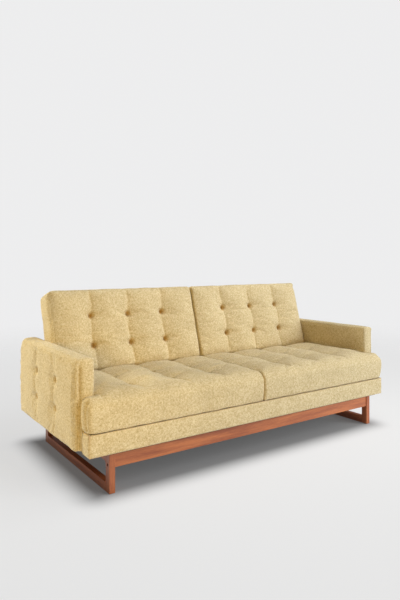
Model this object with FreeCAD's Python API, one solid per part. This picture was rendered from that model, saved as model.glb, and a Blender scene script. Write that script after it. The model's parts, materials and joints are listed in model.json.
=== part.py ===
import FreeCAD, Part
import os
from math import cos, radians, sin
from FreeCAD import Vector

# Split-back sleeper sofa. Millimetres. X runs along the sofa, Y from front to rear, Z up.
# The origin is on the floor, under the centre of the sofa. "left" is -X, "right" is +X.
# Everything is built on the right side, and mirrored in the plane X = 0 for the left side.

os.makedirs("parts", exist_ok=True)

# ---- driving dimensions -------------------------------------------------------------------

WIDTH = 2100.0              # over both arms
DEPTH = 938.0               # front of the seat cushion to the rear of the platform
BACK_TOP = 886.0            # highest point of the backs
SEAT_TOP = 450.0
ARM_TOP = 610.0
PLATFORM_BOTTOM = 186.0
PLATFORM_TOP = 286.0

FABRIC = 2.0                # cover cloth with its wadding
FIT_GAP = 1.0               # between cushions and what they lie on

FRONT = -DEPTH / 2
REAR = DEPTH / 2

# wooden sled frames
SLED_OUTER_X = 918.0
POST_X = 30.0
POST_Y = 39.0
POST_FRONT = FRONT + 16.0
POST_REAR = FRONT + 878.0
RUNNER_HEIGHT = 43.0
CORNER_RADIUS = 12.0        # inside corners of the closed frames
EASED_EDGE = 2.0
GLIDE_THICKNESS = 2.0
DUST_COVER = 1.0
STRETCHER_THICKNESS = 24.0
STRETCHER_BOTTOM = 116.0
STRETCHER_SET_BACK = 5.0    # behind the face of the posts
BOLT_Z = 130.0

# platform
BOARD = 30.0                # thickness of the platform rails
EAR_X = 1021.0              # half width of the front part, which passes in front of the arms
EAR_DEPTH = 86.0
HINGE_RAIL = 40.0
DECK = 12.0

# arms
ARM_INNER_X = 955.0
ARM_FRONT = FRONT + EAR_DEPTH + 2.0
ARM_REAR = REAR - 4.0
ARM_BOTTOM = PLATFORM_BOTTOM + 3.0
ARM_FOAM = 18.0
ARM_PANEL = 28.0            # tufted pad on the outer side

# seat and backs
SEAT_DEPTH = 619.0
SEAT_SIDE_X = 950.0
SEAT_SPLIT = 2.0            # half the split between the seat halves
BACK_SPLIT = 6.0            # half the gap between the backs
BACK_THICKNESS = 155.0
RECLINE = 16.2              # degrees from upright, at rest
HINGE_DEPTH = 27.0          # hinge axis below the seat's surface
HINGE_GAP = 2.0             # from the axis to the seat's rear face, and to the back's lower face
JOINT_RADIUS = 40.0         # rounded edges that roll past each other at the hinge
FRONT_RADIUS = 55.0         # rolled top front edge of the seat
EAR_RADIUS = 24.0
SIDE_RADIUS = 16.0          # side edges of the backs
TOP_RADIUS = 28.0           # top front edge of the backs
TUFT_X = (241.0, 478.0, 715.0)
TUFT_SEAT_Y = (FRONT + 195.0, FRONT + 395.0)
TUFT_BACK_S = (150.0, 322.0)
BUTTON_RADIUS = 11.0
BUTTON_HEIGHT = 8.0
TUFT_DEPTH = 8.0            # from the face down to the button's crown
WELL_CLEARANCE = 2.0

HINGE_X = (70.0, 884.0)
PLATE = 4.0
HUB = 14.0
PIN_RADIUS = 5.0

AXIS_Y = FRONT + SEAT_DEPTH + HINGE_GAP
AXIS_Z = SEAT_TOP - HINGE_DEPTH
X_AXIS = Vector(1, 0, 0)
Y_AXIS = Vector(0, 1, 0)
Z_AXIS = Vector(0, 0, 1)


# ---- helpers ------------------------------------------------------------------------------

def box(x, y, z):
    """A box from three (low, high) pairs."""
    return Part.makeBox(x[1] - x[0], y[1] - y[0], z[1] - z[0], Vector(x[0], y[0], z[0]))


def rod(start, axis, radius, length):
    return Part.makeCylinder(radius, length, Vector(*start), axis)


def prism(outline, z):
    """Extrude an outline in X and Y between two heights."""
    corners = [Vector(px, py, z[0]) for px, py in outline]
    wire = Part.makePolygon(corners + corners[:1])
    return Part.Face(wire).extrude(Vector(0, 0, z[1] - z[0]))


def side_plate(outline, x):
    """Extrude an outline in Y and Z between two X positions."""
    corners = [Vector(x[0], py, pz) for py, pz in outline]
    wire = Part.makePolygon(corners + corners[:1])
    return Part.Face(wire).extrude(Vector(x[1] - x[0], 0, 0))


def fuse(shapes):
    joined = shapes[0].multiFuse(shapes[1:]) if len(shapes) > 1 else shapes[0]
    return joined.removeSplitter()


def rounded(shape, radius, chosen):
    """Round the open edges for which chosen(centre, direction from end to end) is true."""
    edges = []
    for edge in shape.Edges:
        if len(edge.Vertexes) == 2:
            direction = edge.Vertexes[1].Point - edge.Vertexes[0].Point
            if chosen(edge.CenterOfMass, direction.normalize()):
                edges.append(edge)
    return shape.makeFillet(radius, edges)


def near(value, target):
    return abs(value - target) < 0.01


def mirrored(shape):
    return shape.mirror(Vector(0, 0, 0), X_AXIS)


def both_sides(shapes):
    return shapes + [mirrored(shape) for shape in shapes]


def write(node, shapes):
    group = shapes if isinstance(shapes, list) else [shapes]
    shape = group[0] if len(group) == 1 else Part.makeCompound(group)
    if not shape.isValid():
        raise ValueError(node + " is not a valid shape")
    shape.exportStep("parts/" + node + ".step")


def write_pair(name, shapes):
    """Write the right piece and its mirror image as two nodes."""
    group = shapes if isinstance(shapes, list) else [shapes]
    write("right_" + name, group)
    write("left_" + name, [mirrored(shape) for shape in group])


def button(radius, height):
    """A covered button standing on Z = 0: a short rim under a domed crown."""
    rim = height * 0.4
    crown_height = height - rim
    sphere_radius = (radius ** 2 + crown_height ** 2) / (2 * crown_height)
    crown = Part.makeSphere(sphere_radius, Vector(0, 0, height - sphere_radius))
    body = rod((0, 0, 0), Z_AXIS, radius, height)
    return body.common(crown)


def placed(shape, position, axis=None, angle=0.0):
    copy = shape.copy()
    if axis is not None:
        copy.rotate(Vector(0, 0, 0), axis, angle)
    copy.translate(Vector(*position))
    return copy


# ---- wooden base --------------------------------------------------------------------------

def eased_board(x, y, z):
    """A board with every edge slightly rounded."""
    board = box(x, y, z)
    return board.makeFillet(EASED_EDGE, board.Edges)


def haunch(x, corner_y, corner_z, to_y, to_z):
    """The wood left in an inside corner of a closed frame by its rounded shape."""
    block_y = sorted((corner_y, corner_y + to_y * CORNER_RADIUS))
    block_z = sorted((corner_z, corner_z + to_z * CORNER_RADIUS))
    block = box(x, block_y, block_z)
    centre = (x[0], corner_y + to_y * CORNER_RADIUS, corner_z + to_z * CORNER_RADIUS)
    return block.cut(rod(centre, X_AXIS, CORNER_RADIUS, x[1] - x[0]))


def frame_rail(x, y, z, inner_z, inward):
    """A rail between two posts, haunched on the side that faces the frame's opening."""
    front_corner = haunch(x, y[0], inner_z, 1, inward)
    rear_corner = haunch(x, y[1], inner_z, -1, inward)
    rail = fuse([box(x, y, z), front_corner, rear_corner])
    outer_z = z[0] if inward > 0 else z[1]
    return rounded(rail, EASED_EDGE, lambda p, d: abs(d.y) > 0.99 and near(p.z, outer_z))


SLED_X = (SLED_OUTER_X - POST_X, SLED_OUTER_X)
SLED_MIDDLE_X = SLED_OUTER_X - POST_X / 2
SLED_TOP = PLATFORM_BOTTOM - DUST_COVER
FRONT_POST_Y = (POST_FRONT, POST_FRONT + POST_Y)
REAR_POST_Y = (POST_REAR - POST_Y, POST_REAR)
RAIL_Y = (FRONT_POST_Y[1], REAR_POST_Y[0])
RUNNER_Z = (GLIDE_THICKNESS, GLIDE_THICKNESS + RUNNER_HEIGHT)
TOP_RAIL_Z = (SLED_TOP - RUNNER_HEIGHT, SLED_TOP)
STRETCHER_Z = (STRETCHER_BOTTOM, SLED_TOP)
FRONT_STRETCHER_Y = (POST_FRONT + STRETCHER_SET_BACK, POST_FRONT + STRETCHER_SET_BACK + STRETCHER_THICKNESS)
REAR_STRETCHER_Y = (POST_REAR - STRETCHER_SET_BACK - STRETCHER_THICKNESS, POST_REAR - STRETCHER_SET_BACK)

DOWEL_RADIUS = 4.0
DOWEL_LENGTH = 40.0
DOWEL_SPACING = 10.0        # each side of a rail's middle
STRETCHER_DOWEL_Z = 164.0
STRETCHER_DOWEL_IN = 14.0
BOLT_RADIUS = 4.0
BOLT_LENGTH = 68.0
BOLT_HEAD_RADIUS = 6.5
BOLT_HEAD_HEIGHT = 6.0
BOLT_RECESS = 9.0
BARREL_RADIUS = 5.0
BARREL_LENGTH = 18.0
SCREW_RADIUS = 2.5
SCREW_HEAD_RADIUS = 5.0
SCREW_HEAD_HEIGHT = 3.0
BASE_SCREW_Y = (-300.0, -20.0, 260.0)
BASE_SCREW_LENGTH = 58.0


def rail_dowels():
    dowels = []
    for rail_z in (RUNNER_Z, TOP_RAIL_Z):
        middle_z = (rail_z[0] + rail_z[1]) / 2
        for joint_y in RAIL_Y:
            for offset in (-DOWEL_SPACING, DOWEL_SPACING):
                start = (SLED_MIDDLE_X, joint_y - DOWEL_LENGTH / 2, middle_z + offset)
                dowels.append(rod(start, Y_AXIS, DOWEL_RADIUS, DOWEL_LENGTH))
    return dowels


def stretcher_middles():
    return [sum(FRONT_STRETCHER_Y) / 2, sum(REAR_STRETCHER_Y) / 2]


def stretcher_dowels():
    dowels = []
    for middle_y in stretcher_middles():
        start = (SLED_X[0] - DOWEL_LENGTH + STRETCHER_DOWEL_IN, middle_y, STRETCHER_DOWEL_Z)
        dowels.append(rod(start, X_AXIS, DOWEL_RADIUS, DOWEL_LENGTH))
    return dowels


def socket_bolt(length, radius, head_radius, head_height):
    """A bolt along -X whose head's outer face is at X = 0, with a hexagon socket."""
    head = rod((-head_height, 0, 0), X_AXIS, head_radius, head_height)
    shank = rod((-head_height - length, 0, 0), X_AXIS, radius, length)
    socket_corners = []
    for corner in range(6):
        turn = radians(60.0 * corner)
        socket_corners.append((cos(turn) * radius * 0.7, sin(turn) * radius * 0.7))
    socket = side_plate(socket_corners, (-head_height * 0.6, 0.0))
    return fuse([head, shank]).cut(socket)


def make_base():
    glide_y = (FRONT_POST_Y[0] + POST_Y / 2, REAR_POST_Y[1] - POST_Y / 2)
    dowels = rail_dowels() + stretcher_dowels()
    bolts = []
    bolt_holes = []
    barrels = []
    head_x = SLED_OUTER_X - BOLT_RECESS + BOLT_HEAD_HEIGHT
    barrel_x = SLED_X[0] - 40.0
    for middle_y in stretcher_middles():
        bolt = socket_bolt(BOLT_LENGTH, BOLT_RADIUS, BOLT_HEAD_RADIUS, BOLT_HEAD_HEIGHT)
        bolts.append(placed(bolt, (head_x, middle_y, BOLT_Z)))
        recess_start = (SLED_OUTER_X - BOLT_RECESS, middle_y, BOLT_Z)
        bolt_holes.append(rod(recess_start, X_AXIS, BOLT_HEAD_RADIUS + 0.5, BOLT_RECESS))
        shank_start = (head_x - BOLT_HEAD_HEIGHT - BOLT_LENGTH, middle_y, BOLT_Z)
        bolt_holes.append(rod(shank_start, X_AXIS, BOLT_RADIUS, BOLT_LENGTH))
        barrel_start = (barrel_x, middle_y - BARREL_LENGTH / 2, BOLT_Z)
        barrels.append(rod(barrel_start, Y_AXIS, BARREL_RADIUS, BARREL_LENGTH))
    barrel_holes = list(barrels)
    barrels = [barrel.cut(Part.makeCompound(bolt_holes)) for barrel in barrels]

    screws = []
    for screw_y in BASE_SCREW_Y:
        start = (SLED_MIDDLE_X, screw_y, TOP_RAIL_Z[0])
        head = rod(start, Z_AXIS, SCREW_HEAD_RADIUS, SCREW_HEAD_HEIGHT)
        screws.append(fuse([head, rod(start, Z_AXIS, SCREW_RADIUS, BASE_SCREW_LENGTH)]))

    hardware = Part.makeCompound(dowels + bolt_holes + barrel_holes + screws)
    for name, post_y in (("front_post", FRONT_POST_Y), ("rear_post", REAR_POST_Y)):
        post = eased_board(SLED_X, post_y, (GLIDE_THICKNESS, SLED_TOP))
        write_pair(name, post.cut(hardware))
    runner = frame_rail(SLED_X, RAIL_Y, RUNNER_Z, RUNNER_Z[1], 1)
    write_pair("runner", runner.cut(hardware))
    top_rail = frame_rail(SLED_X, RAIL_Y, TOP_RAIL_Z, TOP_RAIL_Z[0], -1)
    write_pair("top_rail", top_rail.cut(hardware))

    glides = [rod((SLED_MIDDLE_X, y, 0.0), Z_AXIS, POST_X * 0.4, GLIDE_THICKNESS) for y in glide_y]
    write("floor_glides", both_sides(glides))

    stretcher_holes = Part.makeCompound(both_sides(stretcher_dowels() + bolt_holes + barrel_holes))
    for name, board_y in (("front_stretcher", FRONT_STRETCHER_Y), ("rear_stretcher", REAR_STRETCHER_Y)):
        board = box((-SLED_X[0], SLED_X[0]), board_y, STRETCHER_Z)
        eased = rounded(board, EASED_EDGE, lambda p, d: abs(d.x) > 0.99)
        write(name, eased.cut(stretcher_holes))

    write("frame_dowels", both_sides(dowels))
    write("stretcher_bolts", both_sides(bolts))
    write("stretcher_barrel_nuts", both_sides(barrels))
    return both_sides(screws)


# ---- platform -----------------------------------------------------------------------------

SKIRT_Z = (PLATFORM_BOTTOM, PLATFORM_TOP)
RAIL_FRONT_Y = (FRONT + FABRIC, FRONT + FABRIC + BOARD)
RAIL_REAR_Y = (REAR - FABRIC - BOARD, REAR - FABRIC)
SIDE_RAIL_X = (ARM_INNER_X - FABRIC - BOARD, ARM_INNER_X - FABRIC)
HINGE_RAIL_Y = (AXIS_Y - HINGE_GAP - HINGE_RAIL, AXIS_Y - HINGE_GAP)
HINGE_RAIL_TOP = PLATFORM_TOP - PLATE
CLEAT_Z = (PLATFORM_BOTTOM, PLATFORM_BOTTOM + 34.0)
CENTRE_RAIL_X = (-20.0, 20.0)
DECK_BEARER_X = (-600.0, 0.0, 600.0)

SPRING_X = (140.0, 350.0, 560.0, 770.0)
SPRING_RADIUS = 1.9
SPRING_Z = PLATFORM_TOP - 6.0
SPRING_REACH = 18.0         # half the length of each cross run
SPRING_TURNS = 12
CLIP = 12.0

ARM_BOLT_Y = (-240.0, 20.0, 330.0)
ARM_BOLT_Z = 236.0
ARM_BOLT_LENGTH = 78.0
ARM_BOLT_RADIUS = 4.0
ARM_BOLT_HEAD = 6.0


def skirt_outline(inset):
    """The platform's outline: full width in front of the arms, narrower between them."""
    ear_x = EAR_X - inset
    side_x = ARM_INNER_X - inset
    front_y = FRONT + inset
    ear_y = FRONT + EAR_DEPTH - inset
    rear_y = REAR - inset
    right = [(ear_x, front_y), (ear_x, ear_y), (side_x, ear_y), (side_x, rear_y)]
    return right + [(-px, py) for px, py in reversed(right)]


def seat_spring(x, y):
    """A sinuous spring: cross runs joined by half turns, from front to rear."""
    half_turn = (y[1] - y[0]) / (2 * SPRING_TURNS)
    edges = []
    side = 1
    for turn in range(SPRING_TURNS + 1):
        run_y = y[0] + 2 * half_turn * turn
        start = Vector(x - side * SPRING_REACH, run_y, SPRING_Z)
        end = Vector(x + side * SPRING_REACH, run_y, SPRING_Z)
        edges.append(Part.LineSegment(start, end).toShape())
        if turn < SPRING_TURNS:
            crown = Vector(end.x + side * half_turn, run_y + half_turn, SPRING_Z)
            next_start = Vector(end.x, run_y + 2 * half_turn, SPRING_Z)
            edges.append(Part.Arc(end, crown, next_start).toShape())
        side = -side
    path = Part.Wire(edges)
    section = Part.Circle(Vector(x - SPRING_REACH, y[0], SPRING_Z), X_AXIS, SPRING_RADIUS).toShape()
    return path.makePipeShell([Part.Wire([section])], True, False)


def arm_bolt(bolt_y):
    head_start = (SIDE_RAIL_X[0] - ARM_BOLT_HEAD, bolt_y, ARM_BOLT_Z)
    head = rod(head_start, X_AXIS, ARM_BOLT_RADIUS * 1.7, ARM_BOLT_HEAD)
    shank = rod((SIDE_RAIL_X[0], bolt_y, ARM_BOLT_Z), X_AXIS, ARM_BOLT_RADIUS, ARM_BOLT_LENGTH)
    return fuse([head, shank])


def make_platform(base_screws, arm_bolts):
    fixings = Part.makeCompound(base_screws + both_sides(arm_bolts))
    front_rail = box((-EAR_X + FABRIC, EAR_X - FABRIC), RAIL_FRONT_Y, SKIRT_Z)
    write("platform_front_rail", front_rail)
    rear_rail = box((-SIDE_RAIL_X[1], SIDE_RAIL_X[1]), RAIL_REAR_Y, SKIRT_Z)
    write("platform_rear_rail", rear_rail)
    side_rail = box(SIDE_RAIL_X, (RAIL_FRONT_Y[1], RAIL_REAR_Y[0]), SKIRT_Z)
    write("platform_side_rails", both_sides([side_rail.cut(fixings)]))

    hinge_rail = box((-SIDE_RAIL_X[0], SIDE_RAIL_X[0]), HINGE_RAIL_Y, (CLEAT_Z[1], HINGE_RAIL_TOP))
    write("platform_hinge_rail", hinge_rail.cut(hinge_screw_holes()))
    centre_rail = box(CENTRE_RAIL_X, (RAIL_FRONT_Y[1], HINGE_RAIL_Y[0]), SKIRT_Z)
    write("platform_centre_rail", centre_rail)

    ear_block = box((SIDE_RAIL_X[1], EAR_X - FABRIC), (RAIL_FRONT_Y[1], FRONT + EAR_DEPTH - FABRIC), SKIRT_Z)
    cleat = box((SLED_X[0] - 5.0, SIDE_RAIL_X[0]), (RAIL_FRONT_Y[1], RAIL_REAR_Y[0]), CLEAT_Z)
    blocks = both_sides([ear_block, cleat.cut(fixings)])
    bearer_y = (HINGE_RAIL_Y[1], RAIL_REAR_Y[0])
    deck_z = (PLATFORM_TOP - DECK, PLATFORM_TOP)
    for bearer_x in DECK_BEARER_X:
        bearer_sides = (bearer_x - BOARD / 2, bearer_x + BOARD / 2)
        blocks.append(box(bearer_sides, bearer_y, (CLEAT_Z[1], deck_z[0])))
    write("platform_blocks", blocks)
    deck = box((-SIDE_RAIL_X[0], SIDE_RAIL_X[0]), bearer_y, deck_z)
    write("rear_deck", deck)

    spring_y = (RAIL_FRONT_Y[1] + CLIP / 2, HINGE_RAIL_Y[0] - CLIP / 2)
    springs = []
    clips = []
    for spring_x in SPRING_X:
        spring = seat_spring(spring_x, spring_y)
        springs.append(spring)
        for clip_y in spring_y:
            clip_z = (SPRING_Z - CLIP / 2, SPRING_Z + CLIP / 2 - 1.0)
            clip_x = (spring_x - CLIP / 2, spring_x + CLIP / 2)
            clip = box(clip_x, (clip_y - CLIP / 2, clip_y + CLIP / 2), clip_z)
            clips.append(clip.cut(spring))
    write("seat_springs", both_sides(springs))
    write("spring_clips", both_sides(clips))

    skirt = prism(skirt_outline(0.0), SKIRT_Z).cut(prism(skirt_outline(FABRIC), SKIRT_Z))
    write("platform_cover", skirt.cut(fixings))
    lining_x = (-SIDE_RAIL_X[1], SIDE_RAIL_X[1])
    lining = box(lining_x, (RAIL_FRONT_Y[0], RAIL_REAR_Y[1]), (SLED_TOP, PLATFORM_BOTTOM))
    write("dust_cover", lining.cut(fixings))


# ---- hinges -------------------------------------------------------------------------------

SEAT_PLATE_Y = (AXIS_Y - 40.0, AXIS_Y - 4.0)
SEAT_PLATE_TOP = AXIS_Z + 4.0
FOOT_WIDTH = 40.0
FOOT_SCREW_INSET = 9.0
HINGE_SCREW_LENGTH = 34.0
PLATE_GAP = 0.6
LEAF_S = (44.0, 190.0)
STILE_T = (-104.0, -62.0)
PIN_CLEARANCE = 0.05
PIN_HEAD = 2.5
LEAF_SCREW_S = (70.0, 118.0, 166.0)
POCKET_CLEARANCE = 2.5

# The pawl's tooth points at the axis along PAWL_ANGLE. It swings on a pin PAWL_ARM away.
PAWL_ANGLE = 240.0
PAWL_SWING = 9.0
PAWL_ARM = 24.0
PAWL_WIDTH = 8.0
TOOTH = 3.5
TOOTH_WIDTH = 4.0
TOOTH_RELEASE = 1.5         # between the released tooth and the hub
NOTCH_DEPTH = 3.0
NOTCH_CLEARANCE = 1.8       # each side of the tooth, which enters on an arc
PAWL_PIN_RADIUS = 2.5
STOP_ANGLES = (0.0, 37.0, 90.0 - RECLINE, 95.0 - RECLINE)   # raised from lying flat


def seat_plate_x(hinge_x):
    return (hinge_x, hinge_x + PLATE)


def back_plate_x(hinge_x):
    return (hinge_x + PLATE + PLATE_GAP, hinge_x + 2 * PLATE + PLATE_GAP)


def hinge_end_x(hinge_x):
    return back_plate_x(hinge_x)[1] + PLATE_GAP + PIN_HEAD


def hinge_screws():
    screws = []
    for hinge_x in HINGE_X:
        screw_x = hinge_x - FOOT_WIDTH / 2
        for screw_y in (SEAT_PLATE_Y[0] + FOOT_SCREW_INSET, SEAT_PLATE_Y[1] - FOOT_SCREW_INSET):
            head_start = (screw_x, screw_y, PLATFORM_TOP - SCREW_HEAD_HEIGHT)
            head = rod(head_start, Z_AXIS, SCREW_HEAD_RADIUS, SCREW_HEAD_HEIGHT)
            shank_start = (screw_x, screw_y, PLATFORM_TOP - HINGE_SCREW_LENGTH)
            screws.append(fuse([head, rod(shank_start, Z_AXIS, SCREW_RADIUS, HINGE_SCREW_LENGTH)]))
    return screws


def hinge_screw_holes():
    return Part.makeCompound(both_sides(hinge_screws()))


def pawl_directions():
    """Unit vectors in Y and Z: from the tooth to the axis, and from the pawl's pin to the tooth."""
    turn = radians(PAWL_ANGLE)
    to_axis = Vector(0, -cos(turn), -sin(turn))
    to_tooth = Vector(0, -sin(turn), cos(turn))
    return to_axis, to_tooth


def pawl_pin_centre():
    to_axis, to_tooth = pawl_directions()
    reach = HUB + TOOTH_RELEASE + TOOTH
    return Vector(0, AXIS_Y, AXIS_Z) - to_axis * reach - to_tooth * PAWL_ARM


def pawl(hinge_x):
    """A lever beside the back plate, released, with one tooth that swings into the hub's notches."""
    x = back_plate_x(hinge_x)
    to_axis, to_tooth = pawl_directions()
    centre = pawl_pin_centre()

    def corner(along, towards_axis):
        point = centre + to_tooth * along + to_axis * towards_axis
        return (point.y, point.z)

    tooth_start = PAWL_ARM - TOOTH_WIDTH / 2
    tooth_end = PAWL_ARM + TOOTH_WIDTH / 2
    outline = [corner(0, -PAWL_WIDTH), corner(tooth_end, -PAWL_WIDTH), corner(tooth_end, TOOTH)]
    outline += [corner(tooth_start, TOOTH), corner(tooth_start, 0), corner(0, 0)]
    eye_centre = corner(0, -PAWL_WIDTH / 2)
    eye = rod((x[0], eye_centre[0], eye_centre[1]), X_AXIS, PAWL_WIDTH / 2 + 2.0, PLATE)
    lever = fuse([side_plate(outline, x), eye])
    return lever.cut(rod((x[0],) + pawl_eye(), X_AXIS, PAWL_PIN_RADIUS + PIN_CLEARANCE, PLATE))


def pawl_eye():
    """Centre of the pawl's pin in Y and Z: in the middle of the lever's width."""
    to_axis = pawl_directions()[0]
    centre = pawl_pin_centre() - to_axis * (PAWL_WIDTH / 2)
    return (centre.y, centre.z)


def headed_pin(hinge_x, centre, radius):
    """A pin fixed in the seat plate, whose head keeps the moving piece on."""
    start_x = seat_plate_x(hinge_x)[0]
    head_x = back_plate_x(hinge_x)[1] + PLATE_GAP
    shank = rod((start_x,) + centre, X_AXIS, radius, head_x - start_x)
    return fuse([shank, rod((head_x,) + centre, X_AXIS, radius + 2.5, PIN_HEAD)])


def seat_plate(hinge_x):
    """An upright arm from the platform's rail to the hinge axis, on a screwed foot."""
    x = seat_plate_x(hinge_x)
    foot_z = (PLATFORM_TOP - PLATE, PLATFORM_TOP)
    arm_outline = [
        (SEAT_PLATE_Y[0], foot_z[0]),
        (SEAT_PLATE_Y[1], foot_z[0]),
        (SEAT_PLATE_Y[1], AXIS_Z - HUB),
        (AXIS_Y, AXIS_Z - HUB),
        (AXIS_Y, SEAT_PLATE_TOP),
        (SEAT_PLATE_Y[0], SEAT_PLATE_TOP),
    ]
    hub = rod((x[0], AXIS_Y, AXIS_Z), X_AXIS, HUB, PLATE)
    foot = box((x[0] - FOOT_WIDTH, x[0]), SEAT_PLATE_Y, foot_z)
    plate = fuse([hub, side_plate(arm_outline, x), foot])
    bores = [rod((x[0], AXIS_Y, AXIS_Z), X_AXIS, PIN_RADIUS, PLATE)]
    bores.append(rod((x[0],) + pawl_eye(), X_AXIS, PAWL_PIN_RADIUS, PLATE))
    return plate.cut(Part.makeCompound(bores)).cut(hinge_screw_holes())


def back_plate(hinge_x):
    """Built lying flat with the axis at the origin: a notched hub, a short neck and a screwed leaf."""
    x = back_plate_x(hinge_x)
    hub = rod((x[0], 0, 0), X_AXIS, HUB, PLATE)
    neck = box(x, (0.0, LEAF_S[0] + HUB), (-HUB, HUB / 2))
    leaf = box(x, LEAF_S, (STILE_T[0] + 6.0, HUB / 2))
    plate = fuse([hub, neck, leaf])
    cuts = [rod((x[0], 0, 0), X_AXIS, PIN_RADIUS + PIN_CLEARANCE, PLATE)]
    half_width = TOOTH_WIDTH / 2 + NOTCH_CLEARANCE
    for stop in STOP_ANGLES:
        notch = box(x, (HUB - NOTCH_DEPTH, HUB + 1.0), (-half_width, half_width))
        notch.rotate(Vector(0, 0, 0), X_AXIS, PAWL_ANGLE - stop)
        cuts.append(notch)
    return plate.cut(Part.makeCompound(cuts))


def hinge_pocket(hinge_x):
    """The room that a hinge needs in the foam and covers around its axis."""
    start_x = hinge_x - 1.0
    length = hinge_end_x(hinge_x) + 1.0 - start_x
    return rod((start_x, AXIS_Y, AXIS_Z), X_AXIS, HUB + POCKET_CLEARANCE, length)


def seat_hinge_room(hinge_x):
    """The slot in the rear of the seat foam where the seat plate and the pawl stand."""
    slot_x = (hinge_x - 1.0, hinge_end_x(hinge_x) + 1.0)
    slot_z = (PLATFORM_TOP, SEAT_PLATE_TOP + POCKET_CLEARANCE)
    slot = box(slot_x, (SEAT_PLATE_Y[0] - POCKET_CLEARANCE, AXIS_Y), slot_z)
    return slot.fuse(hinge_pocket(hinge_x))


# ---- seat ---------------------------------------------------------------------------------

def seat_half(inset):
    """Half of the T-shaped seat: its front passes in front of the arm, its rear edge is rounded."""
    inner_x = SEAT_SPLIT + inset
    ear_x = EAR_X - inset
    side_x = SEAT_SIDE_X - inset
    front_y = FRONT + inset
    ear_y = FRONT + EAR_DEPTH - inset
    rear_y = AXIS_Y - HINGE_GAP - inset
    z = (PLATFORM_TOP + FIT_GAP + inset, SEAT_TOP - inset)
    outline = [(inner_x, front_y), (ear_x, front_y), (ear_x, ear_y)]
    outline += [(side_x, ear_y), (side_x, rear_y), (inner_x, rear_y)]
    block = prism(outline, z)

    def ear_corner(point, direction):
        return abs(direction.z) > 0.99 and near(point.y, front_y) and near(point.x, ear_x)

    def top_front(point, direction):
        return abs(direction.x) > 0.99 and near(point.y, front_y) and near(point.z, z[1])

    def top_rear(point, direction):
        return near(point.y, rear_y) and near(point.z, z[1])

    block = rounded(block, EAR_RADIUS - inset, ear_corner)
    block = rounded(block, FRONT_RADIUS - inset, top_front)
    return rounded(block, JOINT_RADIUS - inset, top_rear)


def tuft_wells(rows, floor_z):
    """Wells, sunk from above, that the buttons of one half sit in."""
    wells = []
    for tuft_x in TUFT_X:
        for row in rows:
            start = (tuft_x, row, floor_z)
            wells.append(rod(start, Z_AXIS, BUTTON_RADIUS + WELL_CLEARANCE, TUFT_DEPTH + BUTTON_HEIGHT + 1.0))
    return wells


def tuft_buttons(rows, floor_z):
    buttons = []
    for tuft_x in TUFT_X:
        for row in rows:
            buttons.append(placed(button(BUTTON_RADIUS, BUTTON_HEIGHT), (tuft_x, row, floor_z)))
    return buttons


def make_seat():
    well_floor = SEAT_TOP - TUFT_DEPTH - BUTTON_HEIGHT
    room = [seat_hinge_room(hinge_x) for hinge_x in HINGE_X]
    cavities = Part.makeCompound(room + tuft_wells(TUFT_SEAT_Y, well_floor))
    outer = seat_half(0.0)
    inner = seat_half(FABRIC)
    write_pair("seat_foam", inner.cut(cavities))
    write_pair("seat_cover", outer.cut(inner).cut(cavities))
    write("seat_buttons", both_sides(tuft_buttons(TUFT_SEAT_Y, well_floor)))


# ---- backs --------------------------------------------------------------------------------
# Each back is built lying flat: the hinge axis is the X axis, Y runs up the back, and Z is
# its depth, with the face that people lean on at the top. It is then raised to its rest pose.

FACE_T = HINGE_DEPTH
REAR_T = HINGE_DEPTH - BACK_THICKNESS
RAISED = 90.0 - RECLINE
CORNER_HEIGHT = TOP_RADIUS + (FACE_T - TOP_RADIUS) * sin(radians(RECLINE))
BACK_S = (HINGE_GAP, TOP_RADIUS + (BACK_TOP - AXIS_Z - CORNER_HEIGHT) / cos(radians(RECLINE)))
BACK_X = (BACK_SPLIT, SEAT_SIDE_X)
STILE = 34.0
FRAME_MARGIN = 26.0
FRAME_S = (BACK_S[0] + FRAME_MARGIN, BACK_S[1] - FRAME_MARGIN)
LOW_RAIL_S = LEAF_S[0] - 2.0   # the bottom rail ends below the hinge leaves
WEBBING = 2.0
WEBBING_WIDTH = 50.0
WEBBING_S = (85.0, 165.0, 245.0, 325.0, 405.0)


def raised(shape):
    copy = shape.copy()
    copy.rotate(Vector(0, 0, 0), X_AXIS, RAISED)
    copy.translate(Vector(0, AXIS_Y, AXIS_Z))
    return copy


def back_block(inset):
    x = (BACK_X[0] + inset, BACK_X[1] - inset)
    s = (BACK_S[0] + inset, BACK_S[1] - inset)
    t = (REAR_T + inset, FACE_T - inset)
    block = box(x, s, t)

    def low_front(point, direction):
        return abs(direction.x) > 0.99 and near(point.y, s[0]) and near(point.z, t[1])

    def high_front(point, direction):
        return abs(direction.x) > 0.99 and near(point.y, s[1]) and near(point.z, t[1])

    block = rounded(block, SIDE_RADIUS - inset, lambda point, direction: abs(direction.y) > 0.99)
    block = rounded(block, JOINT_RADIUS - inset, low_front)
    return rounded(block, TOP_RADIUS - inset, high_front)


def stile_x(hinge_x):
    """Each stile stands beside the leaf that it carries."""
    leaf_side = back_plate_x(hinge_x)[1]
    return (leaf_side, leaf_side + STILE)


def back_frame():
    """Two stiles, which carry the hinge leaves, between a bottom and a top rail."""
    inner_x = stile_x(HINGE_X[0])
    outer_x = stile_x(HINGE_X[1])
    stiles = [box(x, FRAME_S, STILE_T) for x in (inner_x, outer_x)]
    top_rail = box((inner_x[1], outer_x[0]), (FRAME_S[1] - STILE, FRAME_S[1]), STILE_T)
    low_rail = box((inner_x[1], outer_x[0]), (FRAME_S[0], LOW_RAIL_S), STILE_T)
    return stiles + [top_rail, low_rail]


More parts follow.
